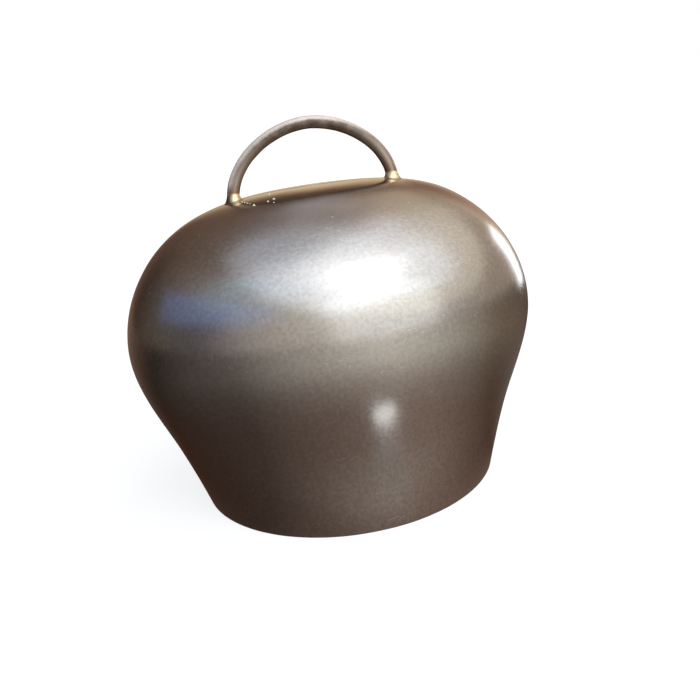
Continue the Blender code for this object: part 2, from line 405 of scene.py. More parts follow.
@dataclass(frozen=True)
class ShellSteel:
    """Burnished brown steel of the bell's outside, tinted by heat along the seam."""

    name: str = "burnished_shell_steel"
    dark: Color = (0.264, 0.240, 0.217)
    light: Color = (0.316, 0.290, 0.265)
    drift: Noise = Noise(22, 3)
    grain: Noise = Noise(760, 2.0)
    drift_share: float = 0.3
    tone_step: Step = Step(0.36, 0.64)
    bronze: Color = (0.31, 0.262, 0.212)
    fleck: Noise = Noise(620, 2.0)
    fleck_shift: Triple = (0.31, 0.17, 0.23)
    fleck_step: Step = Step(0.38, 0.64, 0.0, 0.3)
    crown_tint: Color = (0.262, 0.218, 0.174)
    crown_step: Step = Step(105 * MM, 113 * MM)
    crown_share: float = 0.8
    roughness: float = 0.245
    crown_roughness: float = 0.20
    grain_rough: float = 0.06
    drift_rough: float = 0.04
    mark_rough: float = 0.12
    worn: Color = (0.60, 0.57, 0.53)
    dots: Specks = Specks(62, 0.045, 0.42)
    dust: Specks = Specks(170, 0.07, 0.22)
    lines: Scratches = Scratches((0.2, 0.9, 0.4), 70, 420)
    cross_lines: Scratches = Scratches((1.1, 0.3, 1.9), 80, 480)
    dust_share: float = 0.7
    line_share: float = 0.4
    worn_share: float = 0.7
    grain_height: float = 0.5
    fleck_height: float = 0.2
    mark_height: float = 0.5
    relief: Relief = Relief(0.24, 0.03 * MM)
    straw: Color = (0.40, 0.34, 0.255)
    rust: Color = (0.155, 0.072, 0.052)
    wander: Noise = Noise(70, 3)
    side_wander: float = 12 * MM
    seam_wander: float = 8 * MM
    straw_right: Step = Step(39 * MM, 29 * MM)
    straw_left: Step = Step(-52 * MM, -42 * MM)
    left_spread: Step = Step(-50 * MM, -32 * MM, -6 * MM, 0.0)
    right_spread: Step = Step(33 * MM, 60 * MM, 0.0, 6 * MM)
    tint_reach: Step = Step(14 * MM, 6 * MM)
    tint_level: Step = Step(60 * MM, 94 * MM, 0.35, 0.9)
    soot: Color = (0.085, 0.068, 0.052)
    soot_middle: float = -20 * MM
    soot_width: Step = Step(16 * MM, 5 * MM)
    soot_near: Step = Step(4 * MM, 9 * MM)
    soot_far: Step = Step(15.5 * MM, 10 * MM)
    soot_front: Step = Step(0.0, -4 * MM)
    soot_share: float = 0.55

    def material(self) -> bpy.types.Material:
        """Burnish the steel, tint it by heat and wear it.

        Returns:
            The node material.
        """
        graph = Graph.of_material(self.name)
        place = graph.place()
        shifted = graph.add("Mapping", None, {"Vector": place, "Location": self.fleck_shift})
        drift = graph.noise(place, self.drift)
        grain = graph.noise(place, self.grain)
        fleck = graph.noise(shifted, self.fleck)
        tone = self.drift_share * drift + (1 - self.drift_share) * grain
        color = graph.mix(graph.fade(tone, self.tone_step), self.dark, self.light)
        color = graph.mix(graph.fade(fleck, self.fleck_step), color, self.bronze)
        crown = graph.fade(graph.axis(place, "Z"), self.crown_step)
        color = graph.mix(self.crown_share * crown, color, self.crown_tint)
        color = self.tint_by_heat(graph, place, color)
        marks = self.marks(graph, place, shifted)
        color = graph.mix(self.worn_share * marks, color, self.worn)
        rough = self.roughness + (self.crown_roughness - self.roughness) * crown
        rough = graph.waver(rough, self.grain_rough, grain)
        rough = graph.waver(rough, self.drift_rough, drift) + self.mark_rough * marks
        height = self.grain_height * grain + self.fleck_height * fleck + self.mark_height * marks
        return graph.metal(color, rough, height, self.relief)

    def tint_by_heat(self, graph: Graph, place: Wire, color: Wire) -> Wire:
        """Lay straw, brown and soot along the seam.

        Args:
            graph: Nodes of the material.
            place: Coordinates of the surface.
            color: Colour of the steel.

        Returns:
            The tinted colour.
        """
        wander = graph.noise(place, self.wander)
        depth = graph.axis(place, "Y")
        side = graph.waver(graph.axis(place, "X"), self.side_wander, wander)
        straw = graph.fade(side, self.straw_right) * graph.fade(side, self.straw_left)
        tint = graph.mix(straw, self.rust, self.straw)
        spread = graph.fade(side, self.left_spread) + graph.fade(side, self.right_spread)
        reach = graph.waver(abs(depth), self.seam_wander, wander) - spread
        tinted = graph.fade(reach, self.tint_reach)
        tinted = tinted * graph.fade(graph.axis(place, "Z"), self.tint_level)
        color = graph.mix(tinted, color, tint)
        soot = graph.fade(abs(side - self.soot_middle), self.soot_width)
        soot = soot * graph.fade(reach, self.soot_near) * graph.fade(reach, self.soot_far)
        soot = soot * graph.fade(depth, self.soot_front)
        return graph.mix(self.soot_share * soot, color, self.soot)

    def marks(self, graph: Graph, place: Wire, shifted: Wire) -> Wire:
        """Scatter dots, dust and scratches.

        Args:
            graph: Nodes of the material.
            place: Coordinates of the surface.
            shifted: The same, moved so that the patterns don't agree.

        Returns:
            A mask that is 1 where the steel is worn.
        """
        dots = graph.specks(place, self.dots)
        dust = graph.specks(shifted, self.dust)
        lines = graph.scratches(place, self.lines)
        lines = graph.math("MAXIMUM", lines, graph.scratches(shifted, self.cross_lines))
        marks = graph.math("MAXIMUM", dots, self.dust_share * dust)
        return graph.math("MAXIMUM", marks, self.line_share * lines)


@dataclass(frozen=True)
class InnerSteel:
    """Dull scaled steel of the bell's inside."""

    name: str = "scaled_inner_steel"
    dark: Color = (0.085, 0.072, 0.062)
    light: Color = (0.17, 0.145, 0.125)
    scale: Noise = Noise(90, 6, 0.65)
    scale_step: Step = Step(0.36, 0.64)
    rust: Color = (0.16, 0.075, 0.04)
    drift: Noise = Noise(30, 3)
    rust_step: Step = Step(0.58, 0.72, 0.0, 0.6)
    roughness: float = 0.5
    scale_rough: float = 0.2
    relief: Relief = Relief(0.4, 0.15 * MM)

    def material(self) -> bpy.types.Material:
        """Lay scale and rust over the steel.

        Returns:
            The node material.
        """
        graph = Graph.of_material(self.name)
        place = graph.place()
        scale = graph.noise(place, self.scale)
        drift = graph.noise(place, self.drift)
        color = graph.mix(graph.fade(scale, self.scale_step), self.dark, self.light)
        color = graph.mix(graph.fade(drift, self.rust_step), color, self.rust)
        rough = graph.waver(self.roughness, self.scale_rough, scale)
        return graph.metal(color, rough, scale, self.relief)


@dataclass(frozen=True)
class RimSteel:
    """Mouth rim, rubbed bright on its edge and rusty between the rubbed places."""

    name: str = "worn_rim_steel"
    worn: Color = (0.44, 0.40, 0.36)
    brown: Color = (0.21, 0.125, 0.085)
    rub: Noise = Noise(60, 5, 0.6)
    rub_step: Step = Step(0.44, 0.6)
    nicks: Noise = Noise(700, 3)
    roughness: float = 0.3
    nick_rough: float = 0.25
    relief: Relief = Relief(0.5, 0.12 * MM)

    def material(self) -> bpy.types.Material:
        """Rub the rim bright in places.

        Returns:
            The node material.
        """
        graph = Graph.of_material(self.name)
        place = graph.place()
        rub = graph.noise(place, self.rub)
        nicks = graph.noise(place, self.nicks)
        color = graph.mix(graph.fade(rub, self.rub_step), self.brown, self.worn)
        rough = graph.waver(self.roughness, self.nick_rough, nicks)
        return graph.metal(color, rough, nicks, self.relief)


@dataclass(frozen=True)
class WeldSteel:
    """Seam ground flush: short marks across the seam, straw over the crown and brown down the sides."""

    name: str = "ground_weld_steel"
    straw: Color = (0.40, 0.335, 0.245)
    rust: Color = (0.185, 0.105, 0.078)
    straw_level: Step = Step(103 * MM, 115 * MM)
    bright: Color = (0.31, 0.26, 0.215)
    patch: Noise = Noise(120)
    patch_step: Step = Step(0.52, 0.68, 0.0, 0.45)
    mark_grid: Triple = (2200, 260, 2200)
    marks: Noise = Noise(1.0, 3)
    roughness: float = 0.28
    mark_rough: float = 0.2
    mark_height: float = 0.6
    patch_height: float = 0.4
    relief: Relief = Relief(0.4, 0.08 * MM)

    def material(self) -> bpy.types.Material:
        """Grind and tint the weld.

        Returns:
            The node material.
        """
        graph = Graph.of_material(self.name)
        place = graph.place()
        across = graph.add("Mapping", None, {"Vector": place, "Scale": self.mark_grid})
        marks = graph.noise(across, self.marks)
        patch = graph.noise(place, self.patch)
        high = graph.fade(graph.axis(place, "Z"), self.straw_level)
        color = graph.mix(high, self.rust, self.straw)
        color = graph.mix(graph.fade(patch, self.patch_step), color, self.bright)
        rough = graph.waver(self.roughness, self.mark_rough, marks)
        height = self.mark_height * marks + self.patch_height * patch
        return graph.metal(color, rough, height, self.relief)


@dataclass(frozen=True)
class RodSteel:
    """Rod of the handle: dull and dark over the arch, rubbed lighter down the legs, brown at the feet, with
    a pale sheen painted along the outer side of the arch.
    """

    half_span: float
    arch_power: float
    name: str = "dull_handle_steel"
    dark: Color = (0.072, 0.051, 0.040)
    light: Color = (0.130, 0.099, 0.080)
    mottle: Noise = Noise(300, 4, 0.6)
    tone_step: Step = Step(0.36, 0.66)
    rubbed: Color = (0.26, 0.208, 0.168)
    leg_step: Step = Step(140 * MM, 124 * MM)
    leg_wander: float = 8 * MM
    rubbed_share: float = 0.75
    rust: Color = (0.24, 0.115, 0.07)
    heat_step: Step = Step(125.3 * MM, 117.3 * MM)
    heat_wander: float = 5 * MM
    rust_share: float = 0.75
    # Painted sheen: a paler, less metallic colour laid along the outer side of the arch.
    bare_and_sheen: Color = (0.54, 0.44, 0.37)
    spring_level: float = 117.5 * MM
    arch_rise: float = 24.8 * MM
    painted_sheen_step: Step = Step(1.04, 1.16)
    painted_sheen_wander: float = 0.05
    painted_sheen_lean: float = 0.035
    painted_sheen_share: float = 0.9
    painted_sheen_dullness: float = 0.7
    heat_cover: float = 0.8
    worn: Color = (0.50, 0.46, 0.42)
    specks: Specks = Specks(240, 0.07, 0.25)
    speck_share: float = 0.6
    pits: Noise = Noise(1300, 2)
    roughness: float = 0.46
    mottle_rough: float = 0.16
    leg_polish: float = 0.1
    mottle_height: float = 0.6
    pit_height: float = 0.4
    speck_height: float = 0.4
    relief: Relief = Relief(0.35, 0.08 * MM)

    def material(self) -> bpy.types.Material:
        """Rub and rust the rod, and paint a pale sheen along the outer side of its arch.

        Returns:
            The node material.
        """
        graph = Graph.of_material(self.name)
        place = graph.place()
        level = graph.axis(place, "Z")
        mottle = graph.noise(place, self.mottle)
        pits = graph.noise(place, self.pits)
        specks = graph.specks(place, self.specks)
        legs = graph.fade(graph.waver(level, self.leg_wander, mottle), self.leg_step)
        heat = graph.fade(graph.waver(level, self.heat_wander, mottle), self.heat_step)
        # Painted sheen on the outer side of the arch, kept off the rusty feet.
        painted_sheen = self.painted_sheen_mask(graph, place, mottle) * (1.0 - self.heat_cover * heat)
        color = graph.mix(graph.fade(mottle, self.tone_step), self.dark, self.light)
        color = graph.mix(self.rubbed_share * legs, color, self.rubbed)
        color = graph.mix(self.painted_sheen_share * painted_sheen, color, self.bare_and_sheen)
        color = graph.mix(self.rust_share * heat, color, self.rust)
        color = graph.mix(self.speck_share * specks, color, self.worn)
        rough = graph.waver(self.roughness, self.mottle_rough, mottle) - self.leg_polish * legs
        height = self.mottle_height * mottle + self.pit_height * pits + self.speck_height * specks
        return graph.metal(color, rough, height, self.relief, 1.0 - self.painted_sheen_dullness * painted_sheen)

    def painted_sheen_mask(self, graph: Graph, place: Wire, mottle: Wire) -> Wire:
        """Mask the outer side of the arch, where the sheen is painted.

        Args:
            graph: Nodes of the material.
            place: Coordinates of the surface.
            mottle: Noise that frays the edge.

        Returns:
            A mask that is 1 outside the middle line of the rod.
        """
        side = graph.axis(place, "X") * (1 / self.half_span)
        lift = (graph.axis(place, "Z") - self.spring_level) * (1 / self.arch_rise)
        across = graph.math("POWER", abs(side), self.arch_power)
        up = graph.math("POWER", graph.math("MAXIMUM", lift, 0.0), self.arch_power)
        outside = graph.waver(across + up, self.painted_sheen_wander, mottle)
        return graph.fade(outside - self.painted_sheen_lean * side, self.painted_sheen_step)


@dataclass(frozen=True)
class BrazeBrass:
    """Brass run in from a torch: golden over a brown toe and smoked where it thins out, with shade painted
    dark on its left.
    """

    name: str = "torch_run_brass"
    bright: Color = (0.66, 0.52, 0.29)
    dull: Color = (0.42, 0.31, 0.18)
    flow: Noise = Noise(330, 3)
    flow_step: Step = Step(0.40, 0.60)
    smoked: Color = (0.20, 0.155, 0.13)
    scale: Noise = Noise(900)
    scale_step: Step = Step(0.55, 0.70, 0.0, 0.5)
    level_wander: float = 1.6 * MM
    lip_step: Step = Step(119.2 * MM, 121 * MM)
    toe_step: Step = Step(118.6 * MM, 116.8 * MM, 0.0, 0.7)
    # Painted shade: dark red-brown laid over the left side of the left foot.
    painted_shade: Color = (0.165, 0.09, 0.062)
    painted_shade_step: Step = Step(-31 * MM, -33.2 * MM, 0.0, 0.9)
    roughness: float = 0.345
    scale_rough: float = 0.25
    flow_height: float = 0.7
    scale_height: float = 0.3
    relief: Relief = Relief(0.3, 0.08 * MM)

    def material(self) -> bpy.types.Material:
        """Run the brass, smoke it where it thins out and paint shade on its left.

        Returns:
            The node material.
        """
        graph = Graph.of_material(self.name)
        place = graph.place()
        flow = graph.noise(place, self.flow)
        scale = graph.noise(place, self.scale)
        level = graph.waver(graph.axis(place, "Z"), self.level_wander, flow)
        color = graph.mix(graph.fade(flow, self.flow_step), self.bright, self.dull)
        for smoke in ((scale, self.scale_step), (level, self.lip_step), (level, self.toe_step)):
            color = graph.mix(graph.fade(*smoke), color, self.smoked)
        # Painted shade on the left side of the left foot.
        color = graph.mix(graph.fade(graph.axis(place, "X"), self.painted_shade_step), color, self.painted_shade)
        rough = graph.waver(self.roughness, self.scale_rough, scale)
        height = self.flow_height * flow + self.scale_height * scale
        return graph.metal(color, rough, height, self.relief)


@dataclass(frozen=True)
class FluxBead:
    """Glassy pale beads of brazing flux."""

    name: str = "glassy_flux"
    pale: Color = (0.52, 0.48, 0.42)
    amber: Color = (0.30, 0.25, 0.19)
    cloud: Noise = Noise(900, 3)
    cloud_step: Step = Step(0.4, 0.7)
    roughness: float = 0.25
    cloud_rough: float = 0.2
    coat: float = 0.5

    def material(self) -> bpy.types.Material:
        """Cloud the glass.

        Returns:
            The node material.
        """
        graph = Graph.of_material(self.name)
        cloud = graph.noise(graph.place(), self.cloud)
        sockets = {
            "Base Color": graph.mix(graph.fade(cloud, self.cloud_step), self.pale, self.amber),
            "Roughness": graph.waver(self.roughness, self.cloud_rough, cloud),
            "Coat Weight": self.coat,
        }
        return graph.show("OutputMaterial", graph.add("BsdfPrincipled", None, sockets))


@dataclass(frozen=True)
class ForgedIron:
    """Dark forged iron of the staple and clapper: scale, patches worn to clean metal, and rust."""

    name: str = "forged_clapper_iron"
    scale: Color = (0.075, 0.068, 0.062)
    bare_and_sheen: Color = (0.20, 0.185, 0.17)
    flake: Noise = Noise(240, 6, 0.65)
    flake_step: Step = Step(0.42, 0.66)
    rust: Color = (0.15, 0.07, 0.038)
    drift: Noise = Noise(70, 3)
    rust_step: Step = Step(0.56, 0.7, 0.0, 0.7)
    pits: Noise = Noise(1300, 3)
    roughness: float = 0.48
    flake_rough: float = 0.25
    flake_height: float = 0.7
    pit_height: float = 0.3
    relief: Relief = Relief(0.5, 0.2 * MM)

    def material(self) -> bpy.types.Material:
        """Flake and rust the iron.

        Returns:
            The node material.
        """
        graph = Graph.of_material(self.name)
        place = graph.place()
        flake = graph.noise(place, self.flake)
        drift = graph.noise(place, self.drift)
        color = graph.mix(graph.fade(flake, self.flake_step), self.scale, self.bare_and_sheen)
        color = graph.mix(graph.fade(drift, self.rust_step), color, self.rust)
        rough = graph.waver(self.roughness, self.flake_rough, flake)
        height = self.flake_height * flake + self.pit_height * graph.noise(place, self.pits)
        return graph.metal(color, rough, height, self.relief)


@dataclass(frozen=True)
class Ring:
    """Level ellipse that a loft passes through."""

    half_width: float
    half_depth: float
    z: float
    x: float = 0.0

    @property
    def middle(self) -> Vector:
        """Centre of the ring."""
        return Vector((self.x, 0, self.z))


@dataclass(frozen=True)
class RodStop:
    """Place, heading from +Z towards +X, and radius at one stop along a rod."""

    place: Vector
    heading: float
    radius: float


class Workpiece:
    """One mesh object on the bench, shaped with edit mode operators."""

    def __init__(self, name: str) -> None:
        """Take the object that was just added as the work.

        Args:
            name: Name of the object and of its mesh.
        """
        self.item = bpy.context.object
        self.item.name = name
        self.item.data.name = name
        bpy.ops.object.transform_apply(location=True, rotation=True, scale=True)

    @classmethod
    def circle(cls, name: str, sides: int, radius: float, place: Vector) -> "Workpiece":
        """Start from an open level ring of edges.

        Args:
            name: Name of the new object.
            sides: Number of its edges.
            radius: Its radius.
            place: Its centre.

        Returns:
            The new work.
        """
        deselect()
        bpy.ops.mesh.primitive_circle_add(vertices=sides, radius=radius, location=place)
        return cls(name)

    @classmethod
    def loft(cls, name: str, sides: int, rings: Sequence[Ring]) -> "Workpiece":
        """Extrude an open skin from ring to ring.

        Args:
            name: Name of the new object.
            sides: Number of sides of each ring.
            rings: Ellipses from the first edge to the last.

        Returns:
            The new work.
        """
        first = rings[0]
        work = cls.circle(name, sides, first.half_width, first.middle)
        with work.editing(everything=True):
            work.fit_ring(Ring(first.half_width, first.half_width, first.z), first)
            for last, ring in zip(rings, rings[1:]):
                work.extrude(ring.middle - last.middle)
                work.fit_ring(last, ring)
        return work

    @classmethod
    def rod(cls, name: str, sides: int, stops: Sequence[RodStop]) -> "Workpiece":
        """Sweep a closed rod along a line in an X-Z plane.

        Args:
            name: Name of the new object.
            sides: Number of sides of the rod.
            stops: Stops along the rod, the first one heading straight up.

        Returns:
            The new work.
        """
        work = cls.circle(name, sides, stops[0].radius, stops[0].place)
        with work.editing(everything=True):
            bpy.ops.mesh.edge_face_add()
            for last, stop in zip(stops, stops[1:]):
                work.extrude(stop.place - last.place)
                work.turn_y(stop.heading - last.heading, stop.place)
                grow = stop.radius / last.radius
                bpy.ops.transform.resize(value=(grow, grow, grow), center_override=stop.place)
        work.face_outwards()
        return work

    def take(self) -> None:
        """Select this object alone and make it the active one."""
        deselect()
        self.item.select_set(True)
        bpy.context.view_layer.objects.active = self.item

    @contextmanager
    def editing(self, everything: bool = False) -> Iterator[None]:
        """Hold edit mode on this object alone.

        Args:
            everything: Whether all of it is selected first.

        Yields:
            Nothing; edit mode ends with the block.
        """
        self.take()
        bpy.ops.object.mode_set(mode="EDIT")
        bpy.ops.mesh.select_mode(type="VERT")
        if everything:
            bpy.ops.mesh.select_all(action="SELECT")
        yield
        bpy.ops.object.mode_set(mode="OBJECT")

    @staticmethod
    def extrude(move: Vector) -> None:
        """Extrude what is selected along a move."""
        bpy.ops.mesh.extrude_region_move(TRANSFORM_OT_translate={"value": move})

    @staticmethod
    def fit_ring(last: Ring, ring: Ring) -> None:
        """Resize the selected ring from one ellipse to the next."""
        factors = (ring.half_width / last.half_width, ring.half_depth / last.half_depth, 1.0)
        bpy.ops.transform.resize(value=factors, center_override=ring.middle)

    @staticmethod
    def turn_y(angle: float, middle: Vector) -> None:
        """Turn what is selected about a Y line, from +Z towards +X."""
        bpy.ops.transform.rotate(value=-angle, orient_axis="Y", center_override=middle)

    def pick_points(self, test: Callable[[Vector], bool]) -> None:
        """Select points in edit mode.

        Args:
            test: Says of a point's place whether it is selected.
        """
        mesh = bmesh.from_edit_mesh(self.item.data)
        for vert in mesh.verts:
            vert.select_set(bool(test(vert.co)))
        mesh.select_flush_mode()
        bmesh.update_edit_mesh(self.item.data)

    def pick_faces(self, test: Callable[[Vector], bool]) -> None:
        """Select faces in edit mode.

        Args:
            test: Says of the middle of a face whether it is selected.
        """
        bpy.ops.mesh.select_mode(type="FACE")
        mesh = bmesh.from_edit_mesh(self.item.data)
        for face in mesh.faces:
            face.select_set(bool(test(face.calc_center_median())))
        bmesh.update_edit_mesh(self.item.data)

    def close_end(self, move: Vector) -> None:
        """Extrude the selected end ring and merge it into one point."""
        self.extrude(move)
        bpy.ops.mesh.merge(type="CENTER")

    def face_outwards(self) -> None:
        """Merge doubles and point every face out."""
        with self.editing(everything=True):
            bpy.ops.mesh.remove_doubles(threshold=MERGE_DISTANCE)
            bpy.ops.mesh.normals_make_consistent(inside=False)

    def fill_ends(self) -> None:
        """Close every open ring with a face and point the faces out."""
        with self.editing(everything=True):
            bpy.ops.mesh.fill_holes(sides=0)
        self.face_outwards()

    def apply(self, kind: str, **settings: object) -> None:
        """Add a modifier and apply it.

        Args:
            kind: Type of the modifier.
            settings: Its properties.
        """
        modifier = self.item.modifiers.new(kind.lower(), kind)
        for name, value in settings.items():
            setattr(modifier, name, value)
        bpy.context.view_layer.objects.active = self.item
        bpy.ops.object.modifier_apply(modifier=modifier.name)

    def roughen(self, skin: Unevenness) -> None:
        """Push the skin in and out by a soft noise.

        Args:
            skin: Size of the noise, and the distance from its lowest to its highest place.
        """
        texture = bpy.data.textures.new("unevenness", "CLOUDS")
        texture.noise_scale = skin.size
        self.apply("DISPLACE", texture=texture, strength=skin.depth, texture_coords="LOCAL")

    def cut(self, place: Vector, normal: Vector) -> None:
        """Cut off what lies behind a plane and close the cut.

        Args:
            place: Point of the plane.
            normal: Direction of the side that stays.
        """
        with self.editing(everything=True):
            bpy.ops.mesh.bisect(
                plane_co=place, plane_no=normal, use_fill=True, clear_inner=True, threshold=CUT_THRESHOLD
            )

    def copy(self, name: str) -> "Workpiece":
        """Copy the work with a mesh of its own.

        Args:
            name: Name of the copy.

        Returns:
            The copy.
        """
        self.take()
        bpy.ops.object.duplicate(linked=False)
        return Workpiece(name)

    def join(self, other: "Workpiece") -> None:
        """Union with another closed work, which is used up."""
        self.apply("BOOLEAN", operation="UNION", solver="EXACT", object=other.item)
        bpy.data.objects.remove(other.item, do_unlink=True)

    def merge(self, others: Sequence["Workpiece"]) -> None:
        """Take other works into this one as loose parts.

        Args:
            others: Works that are used up.
        """
        self.take()
        for work in others:
            work.item.select_set(True)
        bpy.ops.object.join()

    def dress(self, *materials: bpy.types.Material) -> None:
        """Give the work its materials in place of any that it has.

        Args:
            materials: Materials of its slots, in order.
        """
        self.item.data.materials.clear()
        for material in materials:
            self.item.data.materials.append(material)

    def install(self, body: Body, slot: Slot, *nodes: str) -> None:
        """Shade the finished piece smooth and fasten it to its body.

        Args:
            body: Body that it rides on.
            slot: Record slot of its finish; not used.
            nodes: CAD nodes that it stands for.
        """
        self.take()
        bpy.ops.object.shade_smooth_by_angle(angle=SMOOTH_ANGLE)
        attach(self.item, body.value)
        if nodes:
            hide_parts(*nodes)
        faces = len(self.item.data.polygons)
        LOG.info("%s rides on %s with %d faces", self.item.name, body.value, faces)


@dataclass(frozen=True)
class Station:
    """Width and depth of the bell at one level."""

    width: float
    depth: float
    level: float


@dataclass(frozen=True)
class BellForm:
    """Outside of the bell: smooth lines through its stations, from the top of the crown down."""

    stations: tuple[Station, ...] = (
        Station(0.0, 0.0, 119 * MM),
        Station(54 * MM, 24 * MM, 117.9 * MM),
        Station(102 * MM, 51 * MM, 111 * MM),
        Station(137 * MM, 96 * MM, 96.5 * MM),
        Station(160 * MM, 118 * MM, 64 * MM),
        Station(139 * MM, 106 * MM, 29 * MM),
        Station(119 * MM, 111 * MM, 0.0),
    )
    sheet: float = 2 * MM
    samples: int = 600

    @property
    def top(self) -> float:
        """Level of the top of the crown."""
        return self.stations[0].level

    @staticmethod
    def spline(knots: np.ndarray, values: np.ndarray, places: np.ndarray) -> np.ndarray:
        """Draw a natural cubic spline.

        Args:
            knots: Run at each value.
            values: Values that the line passes through.
            places: Runs at which it is read.

        Returns:
            The line's values at the places.
        """
        gaps = np.diff(knots)
        slopes = np.diff(values) / gaps
        system = np.eye(len(knots))
        target = np.zeros(len(knots))
        for i in range(1, len(knots) - 1):
            system[i, i - 1:i + 2] = gaps[i - 1], 2 * (gaps[i - 1] + gaps[i]), gaps[i]
            target[i] = 6 * (slopes[i] - slopes[i - 1])
        bends = np.linalg.solve(system, target)
        span = np.clip(np.searchsorted(knots, places) - 1, 0, len(gaps) - 1)
        gap = gaps[span]
        after = places - knots[span]
        before = gap - after
        curved = (bends[span] * before**3 + bends[span + 1] * after**3) / (6 * gap)
        start = (values[span] / gap - bends[span] * gap / 6) * before
        end = (values[span + 1] / gap - bends[span + 1] * gap / 6) * after
        return curved + start + end

    def sections(self, rows: int, trim: float = 0.0) -> tuple[np.ndarray, np.ndarray, np.ndarray]:
        """Follow the outside from the top of the crown to the trim line.

        Args:
            rows: Number of steps.
            trim: Length left below the mouth.

        Returns:
            Half widths, half depths and levels.
        """
        widths = np.array([station.width / 2 for station in self.stations])
        depths = np.array([station.depth / 2 for station in self.stations])
        levels = np.array([station.level for station in self.stations])
        steps = np.hypot(np.diff(widths), np.diff(levels))
        run = np.concatenate([[0], np.cumsum(steps)])
        knots = np.concatenate([-run[:0:-1], run])
        places = np.linspace(0, run[-1] + trim, rows + 1)
        sides = ((widths, -1), (depths, -1), (levels, 1))
        lines = [np.concatenate([sign * values[:0:-1], values]) for values, sign in sides]
        return tuple(self.spline(knots, line, places) for line in lines)

    def crown_height(self, x: float, y: float = 0.0) -> float:
        """Find the height of the outside over a point of the crown.

        Args:
            x: Triple across the bell.
            y: Triple from front to back.

        Returns:
            The height.
        """
        half_widths, half_depths, heights = self.sections(self.samples)
        belly = int(np.argmax(half_widths))
        reach = np.hypot(x / half_widths[1:belly], y / half_depths[1:belly])
        return float(np.interp(-1.0, -reach, heights[1:belly]))


@dataclass
class BellShell:
    """Two pressed halves and the weld between them."""

    form: BellForm
    weld_width: float = 3 * MM
    weld_crown: float = 0.06 * MM
    weld_middle: float = 0.1 * MM
    rim_round: float = 0.4 * MM
    rim_segments: int = 3
    inner_material: int = 1
    rim_material: int = 2
    flat_normal: float = 0.99
    trim: float = 4 * MM
    sides: int = 192
    rows: int = 124
    waves: Unevenness = Unevenness(36 * MM, 0.28 * MM)

    def build(self) -> None:
        """Model the pressings and the weld, dress them and fasten them to the bell."""
        blank = self.press_blank()
        seam = self.weld_width / 2
        for name, side in (("front_shell_pressing", -1), ("rear_shell_pressing", 1)):
            half = blank.copy(name)
            half.cut(Vector((0, side * seam, 0)), Vector((0, side, 0)))
            self.mark_rim(half)
            half.install(Body.BELL, Slot.SHELL, name.replace("_pressing", ""))
        weld = blank.copy("ground_seam_weld")
        for side in (-1, 1):
            weld.cut(Vector((0, side * seam, 0)), Vector((0, -side, 0)))
        self.crown_weld(weld)
        self.mark_rim(weld)
        weld.item.data.materials[0] = WeldSteel().material()
        weld.install(Body.BELL, Slot.WELD, "seam_weld")
        bpy.data.objects.remove(blank.item, do_unlink=True)

    def press_blank(self) -> Workpiece:
        """Model the whole bell in sheet metal with a flat rounded rim.

        Returns:
            The work that the pieces are cut from.
        """
        half_widths, half_depths, heights = self.form.sections(self.rows, self.trim)
        rings = [Ring(*ring) for ring in zip(half_widths, half_depths, heights)]
        work = Workpiece.loft("bell_blank", self.sides, rings[:0:-1])
        with work.editing():
            work.pick_points(lambda place: place.z > heights[1] - PICK_MARGIN)
            work.close_end(Vector((0, 0, heights[0] - heights[1])))
        work.face_outwards()
        work.roughen(self.waves)
        work.dress(ShellSteel().material(), InnerSteel().material(), RimSteel().material())
        sheet = {"thickness": self.form.sheet, "offset": -1.0, "use_even_offset": True}
        work.apply("SOLIDIFY", material_offset=self.inner_material, **sheet)
        work.cut(ORIGIN, UP)
        self.round_rim(work)
        return work

    def round_rim(self, work: Workpiece) -> None:
        """Round both edges of the rim.

        Args:
            work: Blank whose mouth is cut flat.
        """
        with work.editing():
            bpy.ops.mesh.select_mode(type="EDGE")
            mesh = bmesh.from_edit_mesh(work.item.data)
            for edge in mesh.edges:
                level = max(abs(vert.co.z) for vert in edge.verts)
                flat = [abs(face.normal.z) > self.flat_normal for face in edge.link_faces]
                edge.select_set(level < PICK_MARGIN and len(flat) == 2 and flat[0] != flat[1])
            bmesh.update_edit_mesh(work.item.data)
            bpy.ops.mesh.bevel(offset=self.rim_round, segments=self.rim_segments, affect="EDGES")

    def crown_weld(self, work: Workpiece) -> None:
        """Raise the middle line of the weld a little.

        Args:
            work: Weld cut from the blank.
        """
        with work.editing():
            work.pick_points(lambda place: abs(place.y) < self.weld_middle and place.z > self.rim_round)
            bpy.ops.transform.shrink_fatten(value=self.weld_crown)

    def mark_rim(self, work: Workpiece) -> None:
        """Give the faces of the rim their own material.

        Args:
            work: Piece cut from the blank.
        """
        with work.editing():
            work.pick_faces(lambda middle: middle.z < self.rim_round)
            work.item.active_material_index = self.rim_material
            bpy.ops.object.material_slot_assign()


